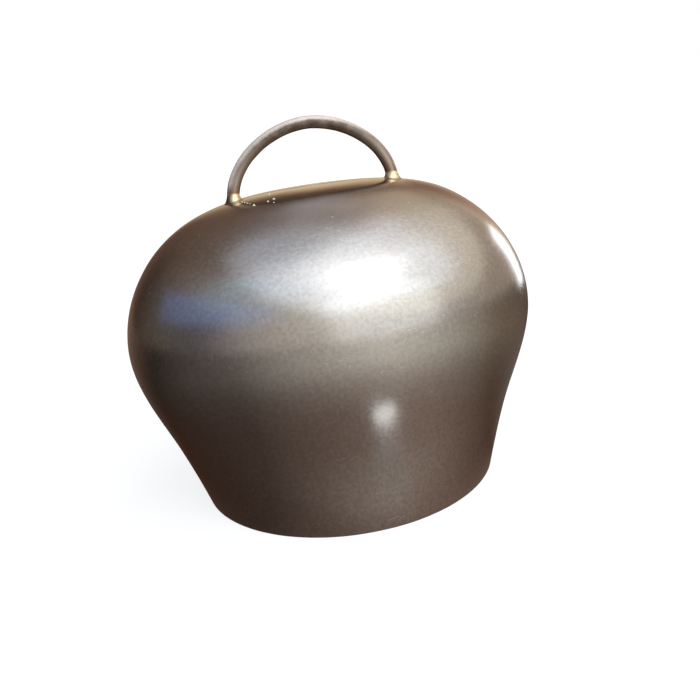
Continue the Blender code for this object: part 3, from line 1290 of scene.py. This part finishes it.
@dataclass
class StrapHandle:
    """Arched rod over the crown, the brazed fillets at its feet and the flux beside them."""

    form: BellForm
    rod: float = 4.8 * MM
    span: float = 62 * MM
    rise: float = 23.3 * MM
    arch_power: float = 1.86
    sides: int = 28
    steps: int = 72
    sink: float = 1.2 * MM
    rod_skin: Unevenness = Unevenness(5 * MM, 0.16 * MM)
    braze_height: float = 4 * MM
    braze_spread: float = 1.6 * MM
    braze_bite: float = 0.06 * MM
    braze_sides: int = 40
    braze_steps: int = 12
    braze_skin: Unevenness = Unevenness(4 * MM, 0.14 * MM)
    bead_radius: float = 0.36 * MM
    bead_segments: int = 16
    bead_rows: int = 10
    bead_sink: float = 0.4
    bead_flare: float = 1.5
    bead_places: tuple[Triple, ...] = (
        (-17.8 * MM, -4.8 * MM, 0.9),
        (-17.0 * MM, -11.2 * MM, 1.2),
        (-19.3 * MM, -12.0 * MM, 1.0),
        (-17.4 * MM, -13.6 * MM, 0.6),
        (-24.6 * MM, -11.8 * MM, 1.3),
        (-28.3 * MM, -5.6 * MM, 0.8),
        (-27.5 * MM, -7.2 * MM, 0.6),
        (-26.6 * MM, -8.6 * MM, 0.7),
        (-25.8 * MM, -9.8 * MM, 0.5),
    )

    @property
    def top(self) -> float:
        """Level of the rod's middle line at the crest."""
        return self.form.top + self.rise

    def build(self) -> None:
        """Model the rod, its fillets and the beads, dress them and fasten them to the bell."""
        brass = BrazeBrass().material()
        handle = Workpiece.rod("arched_strap_handle", self.sides, self.arch())
        handle.roughen(self.rod_skin)
        handle.dress(RodSteel(self.span / 2, self.arch_power).material())
        handle.install(Body.BELL, Slot.HANDLE, "handle")
        for side, name in ((-1, "left"), (1, "right")):
            braze = self.fillet(name + "_foot_braze", side)
            braze.dress(brass)
            braze.install(Body.BELL, Slot.BRAZE, name + "_handle_braze")
        beads = self.spatter()
        beads.dress(FluxBead().material())
        beads.install(Body.BELL, Slot.BRAZE)

    def spatter(self) -> Workpiece:
        """Scatter the beads of flux that ran from the left foot over the crown.

        Returns:
            All the beads as one work.
        """
        deselect()
        bpy.ops.mesh.primitive_uv_sphere_add(
            segments=self.bead_segments, ring_count=self.bead_rows, radius=self.bead_radius
        )
        bead = Workpiece("flux_beads")
        bead.cut(Vector((0, 0, -self.bead_sink * self.bead_radius)), UP)
        with bead.editing():
            bead.pick_points(lambda place: place.z < 0)
            flare = (self.bead_flare, self.bead_flare, 1.0)
            bpy.ops.transform.resize(value=flare, center_override=ORIGIN)
        copies = [bead.copy("bead") for _ in self.bead_places[1:]]
        for work, (x, y, size) in zip([bead, *copies], self.bead_places):
            with work.editing(everything=True):
                bpy.ops.transform.resize(value=(size, size, size), center_override=ORIGIN)
                bpy.ops.transform.translate(value=(x, y, self.form.crown_height(x, y)))
        bead.merge(copies)
        return bead

    def arch(self) -> list[RodStop]:
        """Follow the rod from the left foot over to the right foot.

        Returns:
            The stops along the rod.
        """
        half_span = self.span / 2
        spring = self.form.crown_height(half_span)
        angles = np.linspace(0, math.pi, self.steps + 1)
        across = np.sign(np.cos(angles)) * np.abs(np.cos(angles)) ** (2 / self.arch_power)
        up = np.abs(np.sin(angles)) ** (2 / self.arch_power)
        places = [Vector((-half_span * x, 0, spring + (self.top - spring) * z)) for x, z in zip(across, up)]
        places = [places[0] - self.sink * UP, *places, places[-1] - self.sink * UP]
        stops = []
        for i, place in enumerate(places):
            ahead = places[min(i + 1, len(places) - 1)] - places[max(i - 1, 0)]
            stops.append(RodStop(place, math.atan2(ahead.x, ahead.z), self.rod / 2))
        return stops

    def fillet(self, name: str, side: int) -> Workpiece:
        """Model the fillet that runs from the rod down into the crown.

        Args:
            name: Name of the piece.
            side: -1 for the left foot and 1 for the right foot.

        Returns:
            The new work.
        """
        foot = side * self.span / 2
        level = self.form.crown_height(foot)
        inner = self.form.crown_height(foot - side * self.rod)
        outer = self.form.crown_height(foot + side * self.rod)
        tilt = side * math.atan2(inner - outer, 2 * self.rod)
        neck = self.rod / 2 - self.braze_bite
        arch_rise = self.top - level
        stops = [RodStop(Vector((foot, 0, level - self.sink)), 0.0, neck + self.braze_spread)]
        for angle in np.linspace(math.pi / 2, 0, self.braze_steps):
            height = self.braze_height * (1 - math.sin(angle)) - self.braze_bite
            lean = (1 - (max(height, 0.0) / arch_rise) ** self.arch_power) ** (1 / self.arch_power)
            place = Vector((foot * lean, 0, level + height))
            radius = neck + self.braze_spread * (1 - math.cos(angle))
            stops.append(RodStop(place, tilt * math.sin(angle), radius))
        work = Workpiece.rod(name, self.braze_sides, stops)
        work.roughen(self.braze_skin)
        return work


@dataclass
class ClapperHanger:
    """U staple inside the crown and its brazed fillets."""

    form: BellForm
    rod: float = 5 * MM
    span: float = 28 * MM
    bend: float = 6 * MM
    bar_level: float = 100.5 * MM
    top_level: float = 116.4 * MM
    sides: int = 24
    bend_steps: int = 12
    rod_skin: Unevenness = Unevenness(5 * MM, 0.14 * MM)
    braze_height: float = 3.6 * MM
    braze_spread: float = 2 * MM
    braze_gap: float = 0.12 * MM
    braze_lip: float = 0.8
    braze_lip_height: float = 0.3 * MM
    braze_root: float = 0.9 * MM
    braze_sides: int = 32
    braze_steps: int = 8
    braze_skin: Unevenness = Unevenness(2.6 * MM, 0.5 * MM)

    def build(self) -> None:
        """Model the staple and its fillets, dress them and fasten them to the bell."""
        staple = Workpiece.rod("bent_clapper_staple", self.sides, self.bent_bar())
        staple.roughen(self.rod_skin)
        staple.dress(ForgedIron().material())
        staple.install(Body.BELL, Slot.CLAPPER, "clapper_staple")
        brass = BrazeBrass(name="inside_braze_brass").material()
        for side, name in ((-1, "left"), (1, "right")):
            braze = self.fillet(name + "_staple_fillet", side * self.span / 2)
            braze.dress(brass)
            braze.install(Body.BELL, Slot.BRAZE, name + "_staple_braze")

    def bent_bar(self) -> list[RodStop]:
        """Follow the staple from its left end down, along the bar and up.

        Returns:
            The stops along the rod.
        """
        half_span = self.span / 2
        inner = half_span - self.bend
        stops = [RodStop(Vector((-half_span, 0, self.top_level)), 0.0, self.rod / 2)]
        for side in (-1, 1):
            for step in range(self.bend_steps + 1):
                part = step / self.bend_steps
                turn = part if side < 0 else 1 - part
                angle = math.pi / 2 * turn
                x = side * (inner + self.bend * math.cos(angle))
                z = self.bar_level + self.bend * (1 - math.sin(angle))
                heading = -angle if side < 0 else angle - math.pi
                stops.append(RodStop(Vector((x, 0, z)), heading, self.rod / 2))
        stops.append(RodStop(Vector((half_span, 0, self.top_level)), -math.pi, self.rod / 2))
        return stops

    def fillet(self, name: str, foot: float) -> Workpiece:
        """Model the fillet that runs from the staple up into the crown.

        Args:
            name: Name of the piece.
            foot: Width at which the staple stands.

        Returns:
            The new work.
        """
        level = self.form.crown_height(foot) - self.form.sheet
        neck = self.rod / 2 + self.braze_gap
        lip = neck * self.braze_lip
        rings = [Ring(lip, lip, level - self.braze_height + self.braze_lip_height, foot)]
        for angle in np.linspace(0, math.pi / 2, self.braze_steps):
            radius = neck + self.braze_spread * (1 - math.cos(angle))
            rings.append(Ring(radius, radius, level - self.braze_height * (1 - math.sin(angle)), foot))
        last = rings[-1]
        rings.append(Ring(last.half_width, last.half_depth, level + self.braze_root, foot))
        work = Workpiece.loft(name, self.braze_sides, rings)
        work.fill_ends()
        work.roughen(self.braze_skin)
        return work


@dataclass
class Clapper:
    """Link on the staple, shank with its eye, and the ball."""

    link_radius: float = 7.95 * MM
    link_rod: float = 4 * MM
    link_level: float = 97.35 * MM
    link_skin: Unevenness = Unevenness(4 * MM, 0.12 * MM)
    eye_radius: float = 6.45 * MM
    eye_rod: float = 4.4 * MM
    eye_level: float = 87.45 * MM
    shank_rod: float = 5.2 * MM
    waist_drop: float = 12 * MM
    waist_share: float = 0.94
    shoulder_drop: float = 4 * MM
    shoulder_share: float = 1.05
    shank_voxel: float = 0.4 * MM
    shank_smoothing: float = 0.5
    shank_rounds: int = 6
    shank_skin: Unevenness = Unevenness(6 * MM, 0.16 * MM)
    ball_radius: float = 13 * MM
    ball_level: float = 17 * MM
    ball_sides: int = 56
    ball_rows: int = 40
    ball_skin: Unevenness = Unevenness(9 * MM, 0.35 * MM)
    neck_angle: float = math.radians(68)
    neck_wall: float = 0.9 * MM
    neck_height: float = 2.6 * MM
    neck_parts: tuple[float, ...] = (0.4, 0.75, 1.0)
    bore_bite: float = 0.3 * MM
    sides: int = 24
    ring_steps: int = 64

    def build(self) -> None:
        """Model the three pieces, dress them and fasten them to their bodies."""
        iron = ForgedIron(name="forged_link_iron").material()
        pieces = (
            (self.closed_link(), Body.LINK, "clapper_link"),
            (self.eyed_shank(), Body.CLAPPER, "clapper_shank"),
            (self.necked_ball(), Body.CLAPPER, "clapper_ball"),
        )
        for work, body, node in pieces:
            work.dress(iron)
            work.install(body, Slot.CLAPPER, node)

    def ring(self, name: str, radius: float, rod: float, level: float, axis: Vector) -> Workpiece:
        """Spin a round ring from a circle of rod.

        Args:
            name: Name of the piece.
            radius: Radius of the rod's middle line.
            rod: Diameter of the rod.
            level: Level of the ring's centre.
            axis: Axis of the ring, level.

        Returns:
            The new work.
        """
        middle = level * UP
        work = Workpiece.circle(name, self.sides, rod / 2, middle + radius * UP.cross(axis))
        with work.editing(everything=True):
            bpy.ops.mesh.spin(steps=self.ring_steps, angle=math.tau, center=middle, axis=axis)
        work.face_outwards()
        return work

    def closed_link(self) -> Workpiece:
        """Model the link, a plain ring of rod round the bar of the staple.

        Returns:
            The new work.
        """
        axis = Vector((1, 0, 0))
        work = self.ring("forged_clapper_link", self.link_radius, self.link_rod, self.link_level, axis)
        work.roughen(self.link_skin)
        return work

    def eyed_shank(self) -> Workpiece:
        """Model the shank with a forged shoulder under its eye.

        Returns:
            The new work.
        """
        axis = Vector((0, 1, 0))
        eye = self.ring("forged_clapper_shank", self.eye_radius, self.eye_rod, self.eye_level, axis)
        foot = self.eye_level - self.eye_radius
        half = self.shank_rod / 2
        places = (
            (self.ball_level, half),
            (self.ball_level + self.ball_radius, half),
            (foot - self.waist_drop, self.waist_share * half),
            (foot - self.shoulder_drop, half),
            (foot, self.shoulder_share * half),
        )
        stops = [RodStop(level * UP, 0.0, radius) for level, radius in places]
        eye.join(Workpiece.rod("shank_rod", self.sides, stops))
        eye.apply("REMESH", mode="VOXEL", voxel_size=self.shank_voxel)
        eye.apply("SMOOTH", factor=self.shank_smoothing, iterations=self.shank_rounds)
        eye.roughen(self.shank_skin)
        return eye

    def necked_ball(self) -> Workpiece:
        """Model the ball with a short neck that grips the shank.

        Returns:
            The new work.
        """
        rings = []
        for angle in np.linspace(-math.pi / 2, self.neck_angle, self.ball_rows)[1:]:
            radius = self.ball_radius * math.cos(angle)
            rings.append(Ring(radius, radius, self.ball_level + self.ball_radius * math.sin(angle)))
        top = rings[-1].z
        neck = self.shank_rod / 2 + self.neck_wall
        for part in self.neck_parts:
            radius = rings[-1].half_width + (neck - rings[-1].half_width) * part
            rings.append(Ring(radius, radius, top + self.neck_height * part))
        bore = self.shank_rod / 2 - self.bore_bite
        rings.append(Ring(bore, bore, rings[-1].z))
        work = Workpiece.loft("forged_clapper_ball", self.ball_sides, rings)
        with work.editing():
            work.pick_points(lambda place: place.z < rings[0].z + PICK_MARGIN)
            work.close_end(Vector((0, 0, self.ball_level - self.ball_radius - rings[0].z)))
        work.fill_ends()
        work.roughen(self.ball_skin)
        return work


@dataclass(frozen=True)
class Lamp:
    """Softbox that faces the bell from a direction; azimuth 0 is the front and turns to the right."""

    name: str
    azimuth: float
    elevation: float
    distance: float
    width: float
    height: float
    radiance: float
    color: Color
    roll: float = 0.0
    outline: Outline = Outline.BOX


@dataclass(frozen=True)
class Tint:
    """Colours of a board in one direction: near the floor or the bell, and away from it."""

    azimuth: float
    near: Color
    away: Color

    @property
    def place(self) -> float:
        """Place of the direction along a ramp that starts at the back."""
        return (self.azimuth + HALF_TURN) / FULL_TURN


@dataclass(frozen=True)
class Card:
    """Small level oval reflector card near the bell."""

    name: str
    place: Triple
    width: float
    depth: float
    radiance: float
    color: Color = WHITE


@dataclass
class Studio:
    """Pale floor, white surroundings, softboxes and the painted boards that the metal mirrors."""

    centre: Triple = (0.0, 0.0, 60 * MM)
    ambient: float = 0.5
    floor_size: float = 12.0
    floor_gap: float = 0.05 * MM
    floor_tone: Color = (0.22, 0.22, 0.22)
    floor_bounce: Color = (0.85, 0.85, 0.85)
    floor_glow: Step = Step(0.1, 1.2, 0.80, 1.0)
    board_sides: int = 96
    card_sides: int = 48
    surround_radius: float = 1.3
    surround_height: float = 3.2
    surround_step: Step = Step(0.28, 1.65)
    mat_radius: float = 1.28
    mat_step: Step = Step(0.068, 0.23)
    lamps: tuple[Lamp, ...] = (
        Lamp("core_softbox", 31, 58.5, 1.0, 0.44, 0.68, 2.3, (0.9, 1.0, 1.1), -27, Outline.OVAL),
        Lamp("halo_softbox", 29, 60, 1.0, 0.7, 1.26, 0.72, (0.9, 0.99, 1.14), -27, Outline.OVAL),
        Lamp("key_softbox", 31, 62, 1.0, 1.36, 1.38, 0.86, (0.72, 1.0, 1.46)),
        Lamp("wide_softbox", 50, 48, 1.0, 3.6, 1.92, 0.69, (1.0, 1.0, 0.87)),
        Lamp("front_softbox", 23, 19, 0.7, 0.63, 0.58, 1.21, (0.86, 1.0, 1.1)),
        Lamp("left_panel", -69, 30.5, 1.0, 1.25, 0.38, 0.3, (0.2, 0.56, 1.75), 6),
        Lamp("haze_panel", -138, 76, 1.0, 0.42, 0.26, 0.30, (0.08, 0.42, 1.2)),
        Lamp("top_panel", 147, 69, 1.0, 0.4, 0.24, 0.43, (0.8, 0.97, 1.3)),
        Lamp("right_strip", 116.5, 6.5, 0.34, 0.07, 0.145, 4.4, (0.9, 1.0, 1.08)),
    )
    surround_tints: tuple[Tint, ...] = (
        Tint(-180, (0.97, 0.78, 0.55), (0.28, 0.17, 0.11)),
        Tint(-162, (0.26, 0.14, 0.10), (0.38, 0.28, 0.23)),
        Tint(-135, (0.09, 0.055, 0.04), (0.28, 0.19, 0.14)),
        Tint(-100, (0.24, 0.21, 0.17), (0.42, 0.33, 0.30)),
        Tint(-65, (0.23, 0.22, 0.26), (0.70, 0.88, 1.0)),
        Tint(-30, (0.98, 0.93, 0.90), (0.76, 0.90, 1.06)),
        Tint(-12, (1.28, 1.23, 1.14), (0.90, 0.92, 0.92)),
        Tint(40, (1.1, 1.1, 1.08), (1.0, 1.0, 1.0)),
        Tint(80, (0.84, 0.75, 0.67), (1.25, 1.23, 1.17)),
        Tint(104, (0.76, 0.62, 0.52), (1.05, 1.0, 0.92)),
        Tint(118, (0.62, 0.46, 0.36), (0.95, 0.88, 0.80)),
        Tint(131, (1.2, 0.95, 0.70), (0.72, 0.58, 0.47)),
        Tint(146, (0.78, 0.58, 0.44), (0.48, 0.32, 0.22)),
        Tint(161, (0.97, 0.77, 0.54), (0.28, 0.15, 0.10)),
        Tint(180, (0.97, 0.78, 0.55), (0.28, 0.17, 0.11)),
    )
    mat_tints: tuple[Tint, ...] = (
        Tint(-180, (0.20, 0.15, 0.15), (0.45, 0.26, 0.20)),
        Tint(-100, (0.075, 0.033, 0.02), (0.05, 0.04, 0.03)),
        Tint(-45, (0.12, 0.08, 0.068), (0.28, 0.25, 0.24)),
        Tint(20, (0.43, 0.31, 0.265), (1.52, 1.52, 1.46)),
        Tint(38, (0.39, 0.275, 0.232), (1.24, 1.24, 1.16)),
        Tint(75, (0.14, 0.078, 0.05), (0.44, 0.36, 0.28)),
        Tint(125, (0.22, 0.19, 0.19), (0.12, 0.06, 0.04)),
        Tint(180, (0.20, 0.15, 0.15), (0.45, 0.26, 0.20)),
    )
    cards: tuple[Card, ...] = (
        Card("upper_card", (15.8 * MM, -77 * MM, 19.4 * MM), 15 * MM, 8.2 * MM, 3.6, (0.92, 1.0, 1.06)),
        Card("lower_card", (23 * MM, -95 * MM, 1 * MM), 30 * MM, 12 * MM, 0.5),
    )

    def build(self) -> None:
        """Set up the stage and the lamps."""
        self.light_world()
        self.lay_floor()
        self.stand_surround()
        self.lay_mat()
        for card in self.cards:
            self.lay_card(card)
        for lamp in self.lamps:
            self.hang_lamp(lamp)

    def light_world(self) -> None:
        """White seen directly and in metal, and a softer even light on everything."""
        world = bpy.data.worlds.new("white_room")
        bpy.context.scene.world = world
        graph = Graph(world)
        soft = graph.add("Background", None, {"Color": opaque(WHITE), "Strength": self.ambient})
        white = graph.add("Background", None, {"Color": opaque(WHITE), "Strength": 1.0})
        graph.show("OutputWorld", self.as_seen(graph, soft, white))

    @staticmethod
    def as_seen(graph: Graph, unseen: Wire, seen: Wire) -> Wire:
        """Choose a shader by how a surface is met.

        Args:
            graph: Nodes that the choice is added to.
            unseen: Shader that lights the other surfaces.
            seen: Shader that shows directly, in metal and through glass.

        Returns:
            The wire of the chosen shader.
        """
        camera = graph.add("LightPath", None, None, "Is Camera Ray")
        glossy = graph.add("LightPath", None, None, "Is Glossy Ray")
        through = graph.add("LightPath", None, None, "Is Transmission Ray")
        shows = graph.math("MAXIMUM", camera, graph.math("MAXIMUM", glossy, through))
        return graph.add("MixShader", None, {0: shows, 1: unseen, 2: seen})

    def lay_floor(self) -> None:
        """White floor that keeps a pale shadow."""
        deselect()
        bpy.ops.mesh.primitive_plane_add(size=self.floor_size, location=(0, 0, -self.floor_gap))
        floor = bpy.context.object
        floor.name = "studio_floor"
        graph = Graph.of_material("pale_floor")
        glow = graph.fade(graph.reach(graph.place()), self.floor_glow)
        light = graph.add("CombineXYZ", None, {"X": glow, "Y": glow, "Z": glow})
        plain = graph.add("BsdfDiffuse", None, {"Color": opaque(self.floor_bounce)})
        catch = graph.add("BsdfDiffuse", None, {"Color": opaque(self.floor_tone)})
        shine = graph.add("Emission", None, {"Color": light, "Strength": 1.0})
        bright = graph.add("AddShader", None, {0: catch, 1: shine})
        floor.data.materials.append(graph.show("OutputMaterial", self.as_seen(graph, plain, bright)))

    def stand_surround(self) -> None:
        """Open drum of painted boards round the set."""
        deselect()
        bpy.ops.mesh.primitive_cylinder_add(
            vertices=self.board_sides,
            radius=self.surround_radius,
            depth=self.surround_height,
            end_fill_type="NOTHING",
            location=(0, 0, self.surround_height / 2),
        )
        bpy.ops.object.transform_apply(location=True)
        graph = Graph.of_material("surround_paint")
        part = graph.fade(graph.axis(graph.place(), "Z"), self.surround_step)
        self.hide_board("surround", self.paint(graph, part, self.surround_tints))

    def lay_mat(self) -> None:
        """Painted mat round the bell's foot."""
        deselect()
        bpy.ops.mesh.primitive_circle_add(
            vertices=self.board_sides, radius=self.mat_radius, fill_type="NGON"
        )
        graph = Graph.of_material("mat_paint")
        part = graph.fade(graph.reach(graph.place()), self.mat_step)
        self.hide_board("floor_mat", self.paint(graph, part, self.mat_tints))

    def lay_card(self, card: Card) -> None:
        """Hold one reflector card level in front of the bell.

        Args:
            card: The card.
        """
        deselect()
        bpy.ops.mesh.primitive_circle_add(
            vertices=self.card_sides, radius=1.0, fill_type="NGON", location=card.place
        )
        bpy.context.object.scale = (card.width / 2, card.depth / 2, 1.0)
        graph = Graph.of_material(card.name + "_white")
        glow = graph.add("Emission", None, {"Color": opaque(card.color), "Strength": card.radiance})
        self.hide_board(card.name, graph.show("OutputMaterial", glow))

    @staticmethod
    def paint(graph: Graph, part: Wire, tints: Sequence[Tint]) -> bpy.types.Material:
        """Paint a board round the bell.

        Args:
            graph: Nodes of the paint.
            part: 0 where the near colours show and 1 where the others do.
            tints: Colours by direction.

        Returns:
            The paint.
        """
        turned = graph.add("Mapping", None, {"Vector": graph.place(), "Rotation": (0, 0, math.pi / 2)})
        around = graph.add("TexGradient", {"gradient_type": "RADIAL"}, {0: turned})
        near = [(tint.place, tint.near) for tint in tints]
        away = [(tint.place, tint.away) for tint in tints]
        first = graph.add("ValToRGB", {"stops": near}, {"Fac": around}, "Color")
        second = graph.add("ValToRGB", {"stops": away}, {"Fac": around}, "Color")
        glow = graph.add("Emission", None, {"Color": graph.mix(part, first, second), "Strength": 1.0})
        return graph.show("OutputMaterial", glow)

    @staticmethod
    def hide_board(name: str, material: bpy.types.Material) -> None:
        """Let the newest object show in reflections alone.

        Args:
            name: Its name.
            material: Its paint.
        """
        board = bpy.context.object
        board.name = name
        for ray in ("camera", "diffuse", "transmission", "volume_scatter", "shadow"):
            setattr(board, "visible_" + ray, False)
        board.data.materials.append(material)

    def hang_lamp(self, lamp: Lamp) -> None:
        """Hang one softbox.

        Args:
            lamp: The softbox.
        """
        away = direction(lamp.azimuth, lamp.elevation)
        light = bpy.data.lights.new(lamp.name, "AREA")
        light.shape = lamp.outline.value
        light.size = lamp.width
        light.size_y = lamp.height
        light.energy = math.pi * lamp.radiance * lamp.outline.area(lamp.width, lamp.height)
        light.color = lamp.color
        item = bpy.data.objects.new(lamp.name, light)
        bpy.context.scene.collection.objects.link(item)
        item.location = Vector(self.centre) + lamp.distance * away
        turn = away.to_track_quat("Z", "Y") @ Quaternion(UP, math.radians(lamp.roll))
        item.rotation_euler = turn.to_euler()
        item.visible_camera = False


@dataclass(frozen=True)
class PhotoCamera:
    """Camera at the photograph's viewing angle."""

    target: Triple = (0.0, 0.0, 59.5 * MM)
    distance: float = 320.5 * MM
    elevation: float = 17.19
    left_turn: float = 8.61
    roll: float = 7.33
    focal_pixels: float = 793.7
    image_pixels: float = 700.0
    target_pixel: tuple[float, float] = (332.7, 332.7)
    sensor: float = 36.0
    near_limit: float = 5 * MM

    def build(self) -> None:
        """Place the camera and make it the scene's own."""
        turn = math.radians(self.left_turn)
        roll = math.radians(self.roll)
        back = direction(-self.left_turn, self.elevation)
        level_right = Vector((math.cos(turn), -math.sin(turn), 0))
        level_up = back.cross(level_right)
        right = level_right * math.cos(roll) - level_up * math.sin(roll)
        up = level_right * math.sin(roll) + level_up * math.cos(roll)
        lens = bpy.data.cameras.new("photo_camera")
        lens.sensor_width = self.sensor
        lens.lens = self.sensor * self.focal_pixels / self.image_pixels
        middle = self.image_pixels / 2
        lens.shift_x = (middle - self.target_pixel[0]) / self.image_pixels
        lens.shift_y = (self.target_pixel[1] - middle) / self.image_pixels
        lens.clip_start = self.near_limit
        camera = bpy.data.objects.new("photo_camera", lens)
        bpy.context.scene.collection.objects.link(camera)
        place = Vector(self.target) + self.distance * back
        camera.matrix_world = Matrix.Translation(place) @ Matrix((right, up, back)).transposed().to_4x4()
        bpy.context.scene.camera = camera


def main() -> None:
    """Build the bell's pieces, then the studio and the camera."""
    logging.basicConfig(level=logging.INFO, format="%(name)s: %(message)s")
    bpy.context.scene.view_settings.view_transform = "Standard"
    PhotoCamera().build()
    form = BellForm()
    BellShell(form).build()
    StrapHandle(form).build()
    ClapperHanger(form).build()
    Clapper().build()
    Studio().build()


if __name__ == "__main__":
    main()
